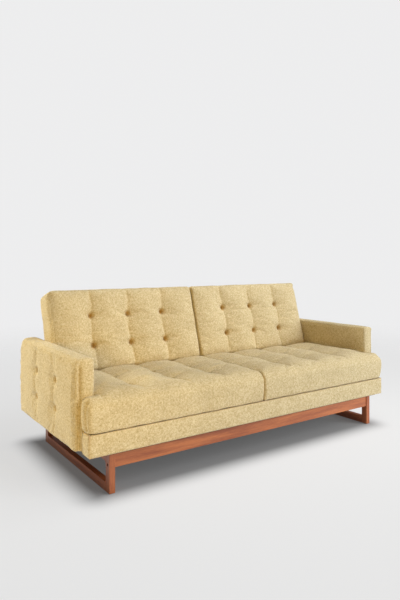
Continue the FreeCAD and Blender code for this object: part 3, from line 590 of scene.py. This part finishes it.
def inflate(obj, pinned, pressure, cap, frames=18):
    """Puff the cover up by cloth simulation, no point by more than cap.

    pinned is 1 where the cloth is held, 0 where it is free."""
    start = get_points(obj.data).copy()
    group = obj.vertex_groups.new(name="held")
    for level in np.unique(np.round(pinned, 1)):
        if level > 0:
            chosen = np.nonzero(np.abs(pinned - level) <= 0.05)[0]
            group.add([int(i) for i in chosen], float(level), "REPLACE")
    modifier = obj.modifiers.new("cloth", "CLOTH")
    cloth = modifier.settings
    cloth.quality = 4
    cloth.mass = 0.25
    cloth.tension_stiffness = 12
    cloth.compression_stiffness = 12
    cloth.shear_stiffness = 4
    cloth.bending_stiffness = 0.6
    cloth.tension_damping = 8
    cloth.air_damping = 2
    cloth.use_pressure = True
    cloth.uniform_pressure_force = pressure
    cloth.shrink_min = -0.02
    cloth.shrink_max = -0.02
    cloth.vertex_group_mass = "held"
    cloth.pin_stiffness = 0.9
    cloth.effector_weights.gravity = 0
    modifier.collision_settings.use_collision = False
    modifier.point_cache.frame_end = frames
    scene = bpy.context.scene
    for number in range(1, frames + 1):
        scene.frame_set(number)
    baked(obj)
    scene.frame_set(1)
    obj.vertex_groups.clear()
    travel = get_points(obj.data) - start
    length = np.linalg.norm(travel, axis=1, keepdims=True)
    set_points(obj.data, start + travel * np.minimum(1, cap / np.maximum(length, 1e-9)))


def soft_line(offset, width):
    """1 on a line, falling to 0 either side with a sharp middle."""
    return np.exp(-np.abs(offset) / width)


def crease_line(column, along, rows, seed):
    """Where a crease runs: through its buttons, bowing to one side between them, never ruled."""
    bow = 0.0075 * np.sin((along - rows[0]) / (rows[1] - rows[0]) * math.pi)
    wander = 0.0015 * np.sin(along / 0.021 + seed) + 0.002 * np.sin(along / 0.047 + seed * 2.3)
    return column + bow * (1 + 0.25 * math.sin(seed * 5)) + wander


def crease_offsets(across, along, columns, rows, seed):
    """How far each point lies from each crease: one array for each column."""
    seeds = [seed + index * 1.7 for index in range(len(columns))]
    return [across - crease_line(column, along, rows, own) for column, own in zip(columns, seeds)]


# Half widths of a crease and of a button's well: sharp middle, soft dip around it, and sewn-in line.
CREASE_SHARP, CREASE_SOFT, CREASE_SEWN = 0.011, 0.035, 0.0055
WELL_SHARP, WELL_SOFT, WELL_SEWN = 0.0165, 0.042, 0.0125
PILLOW_EDGE = 0.06


def crease_fade(along, span):
    """1 along a crease, falling softly to 0 past its ends."""
    sharpness = 60
    begun = 1 / (1 + np.exp(-(along - span[0]) * sharpness))
    return begun / (1 + np.exp((along - span[1]) * sharpness))


def tufting(across, along, columns, rows, span, depth, crease, puff, seed):
    """Height of a tufted face: pillows between creases that run through columns of buttons.

    span is (low, high) of the crease along its length; beyond it the crease fades out. depth is that of
    a button's well, crease that of a crease, and puff the height of a pillow. Each well differs a little."""
    height = np.zeros_like(across)
    nearest = np.full_like(across, 9.0)
    fade = crease_fade(along, span)
    for index, offset in enumerate(crease_offsets(across, along, columns, rows, seed)):
        column = columns[index]
        nearest = np.minimum(nearest, np.abs(offset))
        dip = 0.62 * soft_line(offset, CREASE_SHARP) + 0.38 * np.exp(-(offset / CREASE_SOFT) ** 2)
        height -= crease * fade * dip
        for row_index, row in enumerate(rows):
            away = np.hypot(across - column, along - row)
            pull = 1 + 0.12 * math.sin(seed * 3 + index * 2.1 + row_index * 4.3)
            tight = np.exp(-(away / WELL_SHARP) ** 2)
            loose = np.exp(-(away / WELL_SOFT) ** 1.5)
            height -= depth * pull * (0.72 * tight + 0.28 * loose)
    height += puff * fade * (1 - np.exp(-(nearest / PILLOW_EDGE) ** 1.4))
    return height


def stitched(across, along, columns, rows, span, depth, crease, seed):
    """Sharp middle of the creases and button wells, pressed in after the cover has been inflated."""
    sunk = np.zeros_like(across)
    fade = crease_fade(along, span)
    for index, offset in enumerate(crease_offsets(across, along, columns, rows, seed)):
        sunk += crease * fade * soft_line(offset, CREASE_SEWN)
        for row in rows:
            away = np.hypot(across - columns[index], along - row)
            sunk += depth * np.exp(-(away / WELL_SEWN) ** 2)
    return sunk


# ---- frame facts --------------------------------------------------------------------------

# The right half is described; the left half is its mirror image with its own random wrinkles.
COLUMNS = (0.241, 0.478, 0.715)
SEAT_ROWS = (-0.274, -0.074)
BACK_ROWS = (0.150, 0.322)
ARM_COLUMNS = (-0.099, 0.183)
ARM_ROWS = (0.3293, 0.4697)

JOINTS = {joint["name"]: joint for joint in frame["joints"]}
RECLINE = math.radians(JOINTS["right_back_recline"]["range_deg"][1])
HINGE = Vector((0, *JOINTS["right_back_recline"]["pos_m"][1:]))
RAISE = Matrix.Translation(HINGE) @ Matrix.Rotation(RECLINE, 4, "X")


def dome(value, middle, half):
    """1 in the middle, falling as a parabola to 0 at half to either side."""
    return 1 - np.clip((value - middle) / half, -1, 1) ** 2


def moved(points, matrix):
    grid = np.array(matrix)
    return points @ grid[:3, :3].T + grid[:3, 3]


def remember(obj):
    """Store where each point lies now, so that seams can be placed after the cloth has moved."""
    mesh = obj.data
    attribute = mesh.attributes.new("rest_place", "FLOAT_VECTOR", "POINT")
    attribute.data.foreach_set("vector", get_points(mesh).ravel())


def remembered(mesh):
    return read_vectors(mesh.attributes["rest_place"].data, "vector")


def groove(offset, width, depth):
    """Depth of a seam at an offset from its line."""
    return depth * np.exp(-(np.abs(offset) / width) ** 1.3)


def step(value, at, width):
    """0 below at, 1 above it, smooth over width."""
    return 1 / (1 + np.exp(-(value - at) / width * 4))


def smooth_noise(points, seed, length):
    """Slow random swelling, the same each run, about -1 to 1."""
    local = np.random.default_rng(seed)
    total = np.zeros(len(points))
    for _ in range(7):
        direction = local.normal(size=3)
        direction /= np.linalg.norm(direction)
        waves = points @ direction * (6.3 / length) * local.uniform(0.7, 1.5)
        total += np.sin(waves + local.uniform(0, 6.3))
    return total / 4.5


RIPPLE, RIPPLE_LENGTH = 0.0012, 0.11    # height and length of the slow unevenness of every cover
WELL_RADIUS = 0.012                     # a button sits at the lowest point this close to its centre


def soft_piece(name, side, outline, span, distance, dress, held, seams, seed, voxel=0.0068, pressure=0,
               cap=0.0, place=None, buttons=None, tuft=None, limit=None):
    """A padded piece from its outline: remeshed, shaped, inflated, smoothed, and sewn.

    It is made as a right-hand piece lying flat, its tufted face up (+Z), and then placed and mirrored.
    span is its lowest and highest Z. dress(points, normals) gives how far each point is pushed out, and
    held(points, normals) how firmly it is fixed while the cover is inflated, by no more than cap.
    Each seam(points) gives its depth. buttons is (list to add to, their centres). tuft is
    (columns, rows, span, depth, crease) of the stitching pressed in at the end. limit(points, rest)
    keeps the piece clear of a neighbour."""
    obj = new_piece(name, outline_block(outline, *span), TWEED)
    remeshed(obj, voxel)
    rest = settle_on(distance, get_points(obj.data))
    normals = gradient(distance, rest)
    set_points(obj.data, rest)
    remember(obj)
    points = rest + normals * dress(rest, normals)[:, None]
    points += normals * (RIPPLE * smooth_noise(rest, seed, RIPPLE_LENGTH))[:, None]
    set_points(obj.data, points)
    if pressure:
        inflate(obj, held(rest, normals), pressure, cap)
    subdivided(obj)
    mesh = obj.data
    normals = get_normals(mesh)
    rest = remembered(mesh)
    points = get_points(mesh)
    for seam in seams:
        points -= normals * seam(rest)[:, None]
    if tuft is not None:
        facing = np.clip(normals[:, 2] * 2, 0, 1)
        points[:, 2] -= facing * stitched(rest[:, 0], rest[:, 1], *tuft, seed)
    if limit is not None:
        limit(points, rest)
    mesh.attributes.remove(mesh.attributes["rest_place"])
    if buttons is not None:
        bag, centres = buttons
        for centre in centres:
            away = np.hypot(points[:, 0] - centre[0], points[:, 1] - centre[1])
            near = (away < WELL_RADIUS) & (normals[:, 2] > 0.3)
            spot = np.array((*centre, points[near, 2].min()))
            bag.append(button_points(spot, place, side))
    if place is not None:
        points = moved(points, place)
    if side < 0:
        points = points * (-1, 1, 1)
    set_points(mesh, points)
    if side < 0:
        mesh.flip_normals()
    smooth_shading(obj)
    mesh.materials.clear()
    mesh.materials.append(TWEED)
    return obj


BUTTON_SIDES = 24
# Radius and height of the rings of a covered button: its tucked rim, the rim's roll, and the dome.
BUTTON_RINGS = ((0.0082, -0.0015), (0.0102, 0.0002), (0.0110, 0.0018), (0.0106, 0.0034),
                (0.0090, 0.0047), (0.0064, 0.0056), (0.0034, 0.0060))
BUTTON_LOW, BUTTON_TOP = -0.0018, 0.0061


def button_points(spot, place, side):
    """Points of one covered button at a spot: its rings, then the middles of its underside and crown."""
    turns = np.arange(BUTTON_SIDES) * 2 * math.pi / BUTTON_SIDES
    rings = []
    for radius, height in BUTTON_RINGS:
        pleat = 1 + 0.02 * np.cos(turns * 8)
        ring = [radius * pleat * np.cos(turns), radius * pleat * np.sin(turns), np.full_like(turns, height)]
        rings.append(np.stack(ring, axis=1))
    points = np.vstack(rings + [[[0, 0, BUTTON_LOW]], [[0, 0, BUTTON_TOP]]]) + spot
    if place is not None:
        points = moved(points, place)
    return points * (side, 1, 1)


def make_buttons(name, bag, body, *nodes):
    """One piece of all the buttons in a bag, riding on a body in place of the frame's nodes."""
    vertices, faces = [], []
    for points in bag:
        start = len(vertices)
        vertices += list(points)
        count = len(BUTTON_RINGS)
        under = start + count * BUTTON_SIDES
        for turn in range(BUTTON_SIDES):
            after = (turn + 1) % BUTTON_SIDES
            faces.append((under, start + after, start + turn))
            for ring in range(count - 1):
                low, high = start + ring * BUTTON_SIDES, start + (ring + 1) * BUTTON_SIDES
                faces.append((low + turn, low + after, high + after, high + turn))
            last = start + (count - 1) * BUTTON_SIDES
            faces.append((last + turn, last + after, under + 1))
    obj = new_piece(name, closed_mesh(vertices, faces), BUTTON_TWEED)
    smooth_shading(obj)
    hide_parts(*nodes)
    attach(obj, body)


def button_hold(across, along, columns, rows, radius=0.014):
    """1 within a radius of each button, where it holds the cover."""
    held = np.zeros_like(across)
    for column in columns:
        for row in rows:
            held = np.maximum(held, (np.hypot(across - column, along - row) < radius) * 1.0)
    return held


def crease_hold(across, along, columns, rows, span, seed, level):
    """level close to each crease within its span, where stitches hold the cover."""
    held = np.zeros_like(across)
    inside = (along > span[0]) & (along < span[1])
    for offset in crease_offsets(across, along, columns, rows, seed):
        held = np.maximum(held, ((np.abs(offset) < 0.007) & inside) * level)
    return held


def make_seat(side, word, seed, bag):
    """Half of the T-shaped seat, whose ear passes in front of the arm."""
    low_x, high_x, ear_x = 0.003, 0.952, 1.024
    front, ear_back, rear = -0.468, -0.384, 0.149
    low, high = 0.2885, 0.4425
    radii = [("+z", 0), ("-y", 0.050), ("+y", 0.04), ("+x", 0.020), ("-x", 0.014), ("-z", 0.005)]
    ear_radii = [("+z", 0), ("-y", 0.050), ("+y", 0.022), ("+x", 0.030), ("-x", 0.006), ("-z", 0.005)]
    shape = union(block_distance((low_x, front, low), (high_x, rear, high), radii),
                  block_distance((0.8, front, low), (ear_x, ear_back, high), ear_radii))
    outline = [(low_x, front), (ear_x, front), (ear_x, ear_back), (high_x, ear_back), (high_x, rear),
               (low_x, rear)]
    span = (-0.372, 0.140)

    def dress(points, normals):
        x, y, z = points.T
        top = np.clip(normals[:, 2], 0, 1)
        face = np.clip(-normals[:, 1], 0, 1)
        end = np.clip(normals[:, 0], 0, 1) * (y < ear_back + 0.01)
        tufts = tufting(x, y, COLUMNS, SEAT_ROWS, span, depth=0.022, crease=0.0065, puff=0.005, seed=seed)
        crown = 0.006 * dome(x, 0.476, 0.55) * dome(y, -0.17, 0.34)
        belly = dome(z, 0.37, 0.083)
        foot = 0.006 * np.exp(-((z - low) / 0.012) ** 2)
        tuck = -0.0035 * np.abs(normals[:, 0]) * dome(y, -0.12, 0.3) * (x > 0.5)
        return top * (tufts + crown) + (face * 0.005 + end * 0.009) * belly - (face * 0.3 + end) * foot + tuck

    def held(points, normals):
        x, y, z = points.T
        top = normals[:, 2] > 0.5
        level = np.where(z < low + 0.012, 1.0, 0.0)
        level = np.maximum(level, top * button_hold(x, y, COLUMNS, SEAT_ROWS))
        level = np.maximum(level, top * crease_hold(x, y, COLUMNS, SEAT_ROWS, (-0.33, 0.13), seed, 0.5))
        hidden = (y > rear - 0.012) | ((x > high_x - 0.006) & (y > ear_back + 0.02)) | (x < low_x + 0.004)
        level = np.maximum(level, hidden * 0.7)
        level = np.maximum(level, (normals[:, 1] < -0.6) * 0.3)
        level = np.maximum(level, ((normals[:, 0] > 0.6) & (y < ear_back)) * 0.4)
        return level

    def ear_seam(points):
        x, y, z = points.T
        mask = step(x, ear_x - 0.026, 0.010) * step(z, 0.297, 0.008) * (1 - step(z, 0.428, 0.016))
        return mask * groove(y - front - 0.026, 0.0105, 0.013)

    centres = [(column, row) for column in COLUMNS for row in SEAT_ROWS]
    obj = soft_piece(word + "_seat_cushion", side, outline, (low, high), shape, dress, held, [ear_seam], seed,
                     pressure=3.2, cap=0.018, buttons=(bag, centres),
                     tuft=(COLUMNS, SEAT_ROWS, span, 0.009, 0.0022))
    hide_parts(word + "_seat_cover", word + "_seat_foam")
    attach(obj, "root")


def make_back(side, word, seed, bag):
    """Built lying flat about its hinge (X across, Y from the low edge up, Z out of the face), then raised."""
    low_x, high_x = 0.0075, 0.9515
    foot, head = 0.004, 0.480
    rear, face = -0.127, 0.0225

    def corner(points):
        return 0.012 + 0.024 * step(points[:, 1], head - 0.045, 0.03)

    radii = [("+z", 0), ("+y", 0.026), ("-y", 0.040), ("+x", corner), ("-x", 0.014), ("-z", 0.010)]
    shape = block_distance((low_x, foot, rear), (high_x, head, face), radii)
    outline = [(low_x, foot), (high_x, foot), (high_x, head), (low_x, head)]
    span = (-0.01, 0.468)
    fold_x, fold_z = high_x - 0.006, face - 0.006
    # Up to clear_of_arm along the back, its side stays inside arm_gap, to pass the arm as it reclines.
    clear_of_arm, arm_gap = 0.33, 0.9545

    def dress(points, normals):
        x, y, z = points.T
        front = np.clip(normals[:, 2], 0, 1)
        behind = np.clip(-normals[:, 2], 0, 1)
        tufts = tufting(x, y, COLUMNS, BACK_ROWS, span, depth=0.022, crease=0.0075, puff=0.006, seed=seed)
        crown = 0.005 * dome(x, 0.478, 0.55) * dome(y, 0.24, 0.27)
        fold = -0.013 * np.exp(-(np.hypot(x - fold_x, z - fold_z) / 0.024) ** 2) * (1 - step(y, 0.455, 0.012))
        swell = 0.006 * np.clip(normals[:, 0], 0, 1) * step(y, clear_of_arm, 0.03) * (z > -0.115)
        sag = 0.003 * behind * dome(x, 0.478, 0.48) * dome(y, 0.24, 0.24)
        return front * (tufts + crown) + fold + swell - sag

    def held(points, normals):
        x, y, z = points.T
        top = normals[:, 2] > 0.5
        level = np.where(normals[:, 2] < -0.3, 1.0, 0.0)
        level = np.maximum(level, top * button_hold(x, y, COLUMNS, BACK_ROWS, 0.012))
        level = np.maximum(level, top * crease_hold(x, y, COLUMNS, BACK_ROWS, (0.03, 0.45), seed, 0.6))
        level = np.maximum(level, (np.hypot(x - fold_x, z - fold_z) < 0.012) * 1.0)
        edges = (np.abs(normals[:, 0]) > 0.6) | (np.abs(normals[:, 1]) > 0.6)
        level = np.maximum(level, edges * 0.7)
        return level

    def against_arm(points, rest):
        reach = arm_gap + 0.012 * step(rest[:, 1], clear_of_arm, 0.02)
        points[:, 0] = np.minimum(points[:, 0], reach)

    def boxing_seam(points):
        x, y, z = points.T
        mask = 1 - step(y, 0.462, 0.008)
        return mask * groove(np.hypot(x - high_x, z - face), 0.011, 0.005)

    def rear_seam(points):
        return groove(points[:, 2] - rear - 0.016, 0.003, 0.0018)

    centres = [(column, row) for column in COLUMNS for row in BACK_ROWS]
    obj = soft_piece(word + "_back_cushion", side, outline, (rear, face), shape, dress, held,
                     [boxing_seam, rear_seam], seed, pressure=3.6, cap=0.020, place=RAISE,
                     buttons=(bag, centres), tuft=(COLUMNS, BACK_ROWS, span, 0.013, 0.0030),
                     limit=against_arm)
    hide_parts(word + "_back_cover", word + "_back_foam")
    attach(obj, word + "_back")


def make_arm(side, word, seed, bag):
    """The boxed arm with its soft top, and the tufted panel on its outer side."""
    inner, seam_x, outer = 0.9555, 1.033, 1.049
    front, rear, low, high = -0.380, 0.464, 0.190, 0.608

    def outer_edge(points):
        return 0.004 + 0.012 * (1 - step(points[:, 2], high - 0.03, 0.02))

    def rear_corner(points):
        return 0.010 + 0.030 * step(points[:, 2], high - 0.05, 0.03)

    radii = [("+z", 0), ("+y", rear_corner), ("-y", 0.014), ("-x", 0.014), ("+x", outer_edge), ("-z", 0.006)]
    shape = block_distance((inner, front, low), (seam_x, rear, high), radii)
    outline = [(inner, front), (seam_x, front), (seam_x, rear), (inner, rear)]

    def dress(points, normals):
        x, y, z = points.T
        across = dome(x, 0.994, 0.040)
        top = np.clip(normals[:, 2], 0, 1) * across * 0.005
        strip = np.clip(-normals[:, 1], 0, 1) * across * 0.004
        inside = np.clip(-normals[:, 0], 0, 1) * 0.002 * dome(z, 0.53, 0.07) * (y < 0.1)
        corner = np.exp(-(np.hypot(x - seam_x, y - front) / 0.014) ** 2)
        crease = -0.010 * corner * (1 - step(z, high - 0.02, 0.01))
        return top + strip + inside + crease

    def top_seam(points):
        shown = (points[:, 0] < inner + 0.004) | (points[:, 1] < front + 0.004)
        return shown * groove(points[:, 2] - high + 0.014, 0.0035, 0.0022)

    def front_seam(points):
        return (points[:, 0] < inner + 0.004) * groove(points[:, 1] - front - 0.013, 0.0035, 0.0022)

    body = soft_piece(word + "_arm_upholstery", side, outline, (low, high), shape, dress, None,
                      [top_seam, front_seam], seed, voxel=0.0075)
    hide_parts(word + "_arm_cover", word + "_arm_padding")
    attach(body, "root")

    # The panel lies flat with X along the arm, Y up it and Z outwards until it is placed.
    top, root_x = 0.607, seam_x - 0.012
    place = Matrix(((0, 0, 1, 0), (1, 0, 0, 0), (0, 1, 0, 0), (0, 0, 0, 1)))

    def panel_corner(points):
        return 0.018 + 0.026 * step(points[:, 1], top - 0.05, 0.03) * step(points[:, 0], rear - 0.06, 0.03)

    radii = [("+z", 0), ("+y", 0.020), ("-y", 0.010), ("+x", panel_corner), ("-x", 0.014), ("-z", 0.003)]
    shape = block_distance((front, low, root_x), (rear, top, outer - 0.003), radii)
    outline = [(front, low), (rear, low), (rear, top), (front, top)]

    arm_span = (ARM_ROWS[0] - 0.045, ARM_ROWS[1] + 0.03)

    def dress_panel(points, normals):
        x, y, z = points.T
        out = np.clip(normals[:, 2], 0, 1)
        tufts = tufting(x, y, ARM_COLUMNS, ARM_ROWS, arm_span, depth=0.015, crease=0.0026, puff=0.0015,
                        seed=seed)
        crown = 0.003 * dome(y, 0.4, 0.2)
        corner = np.exp(-(np.hypot(x - front, z - seam_x) / 0.015) ** 2)
        crease = -0.012 * corner * (1 - step(y, top - 0.02, 0.01))
        return out * (tufts + crown) + crease

    def held_panel(points, normals):
        x, y, z = points.T
        out = normals[:, 2] > 0.5
        level = np.where(z < seam_x + 0.006, 1.0, 0.0)
        level = np.maximum(level, out * button_hold(x, y, ARM_COLUMNS, ARM_ROWS, 0.012))
        level = np.maximum(level, out * crease_hold(x, y, ARM_COLUMNS, ARM_ROWS, ARM_ROWS, seed, 0.5))
        edges = (np.abs(normals[:, 0]) > 0.6) | (np.abs(normals[:, 1]) > 0.6)
        return np.maximum(level, edges * 0.6)

    centres = [(column, row) for column in ARM_COLUMNS for row in ARM_ROWS]
    panel = soft_piece(word + "_arm_panel", side, outline, (root_x, outer - 0.003), shape, dress_panel,
                       held_panel, [], seed, voxel=0.0065, pressure=2.0, cap=0.006, place=place,
                       buttons=(bag, centres), tuft=(ARM_COLUMNS, ARM_ROWS, arm_span, 0.009, 0.0012))
    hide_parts(word + "_arm_outer_panel")
    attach(panel, "root")


def rounded_outline(corners, radius, spacing):
    """Points round a closed polygon, anticlockwise, with rounded corners, about spacing apart."""
    count = len(corners)
    points = []
    for index in range(count):
        here = np.array(corners[index])
        before = np.array(corners[index - 1]) - here
        after = np.array(corners[(index + 1) % count]) - here
        before, after = before / np.linalg.norm(before), after / np.linalg.norm(after)
        first, last = here + before * radius, here + after * radius
        middle = here + (before + after) * radius
        for part in range(5):
            angle = part / 4 * math.pi / 2
            points.append(middle - before * radius * math.sin(angle) - after * radius * math.cos(angle))
        following = np.array(corners[(index + 1) % count]) - after * radius
        run = np.linalg.norm(following - last)
        pieces = max(1, int(run / spacing))
        for part in range(1, pieces):
            points.append(last + (following - last) * part / pieces)
    return np.array(points)


BAND_RIPPLE = 0.0007


def make_band():
    """The skirt of the platform: one fabric band swept round it, turned in at the top and hemmed below."""
    ear, ear_back, side_x, front, rear = 1.021, -0.383, 0.955, -0.469, 0.469
    corners = [(-ear, front), (ear, front), (ear, ear_back), (side_x, ear_back), (side_x, rear),
               (-side_x, rear), (-side_x, ear_back), (-ear, ear_back)]
    loop = rounded_outline(corners, 0.011, 0.012)
    tangent = np.roll(loop, -1, axis=0) - np.roll(loop, 1, axis=0)
    tangent /= np.linalg.norm(tangent, axis=1, keepdims=True)
    outward = np.stack([tangent[:, 1], -tangent[:, 0]], axis=1)
    top, foot = 0.2862, 0.1862
    # How far outside the outline and how high: from the turned-in top down the face to the hem, then inside.
    section = [(-0.020, top), (-0.006, top), (-0.002, top - 0.0012), (0.0, top - 0.006),
               (0.0014, top - 0.020), (0.0022, top - 0.040), (0.0022, foot + 0.042),
               (0.0016, foot + 0.026), (0.0004, foot + 0.021), (0.0012, foot + 0.015),
               (0.0006, foot + 0.005), (-0.002, foot + 0.0008), (-0.006, foot), (-0.020, foot),
               (-0.020, foot + 0.0016), (-0.0024, foot + 0.003), (-0.0018, 0.236),
               (-0.0024, top - 0.003), (-0.020, top - 0.0016)]
    count = len(loop)
    along = np.arange(count) / count * 6.0
    vertices = []
    for offset, height in section:
        on_face = 1.0 if offset > -0.001 else 0.0
        waves = np.sin(along * 41.0 + height * 60) + np.sin(along * 97.0 + 1.3 - height * 90)
        ripple = on_face * BAND_RIPPLE * waves
        ring = loop + outward * (offset + ripple)[:, None]
        vertices.append(np.column_stack([ring, np.full(count, height)]))
    total = len(section)
    faces = []
    for ring in range(total):
        following = (ring + 1) % total
        for index in range(count):
            after = (index + 1) % count
            faces.append((ring * count + index, following * count + index, following * count + after,
                          ring * count + after))
    obj = new_piece("platform_band", closed_mesh(np.vstack(vertices), faces), TWEED)
    smooth_shading(obj)
    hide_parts("platform_cover")
    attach(obj, "root")


SEAT_SEED, BACK_SEED, ARM_SEED = 11, 21, 31

make_camera()
make_floor()
make_lights()
paint_frame()
make_band()
seat_bag, arm_bag = [], []
for side, word in ((1, "right"), (-1, "left")):
    back_bag = []
    make_seat(side, word, SEAT_SEED + side, seat_bag)
    make_back(side, word, BACK_SEED + side, back_bag)
    make_arm(side, word, ARM_SEED + side, arm_bag)
    make_buttons(word + "_back_tuft_buttons", back_bag, word + "_back", word + "_back_buttons")
make_buttons("seat_tuft_buttons", seat_bag, "root", "seat_buttons")
make_buttons("arm_tuft_buttons", arm_bag, "root", "arm_buttons")
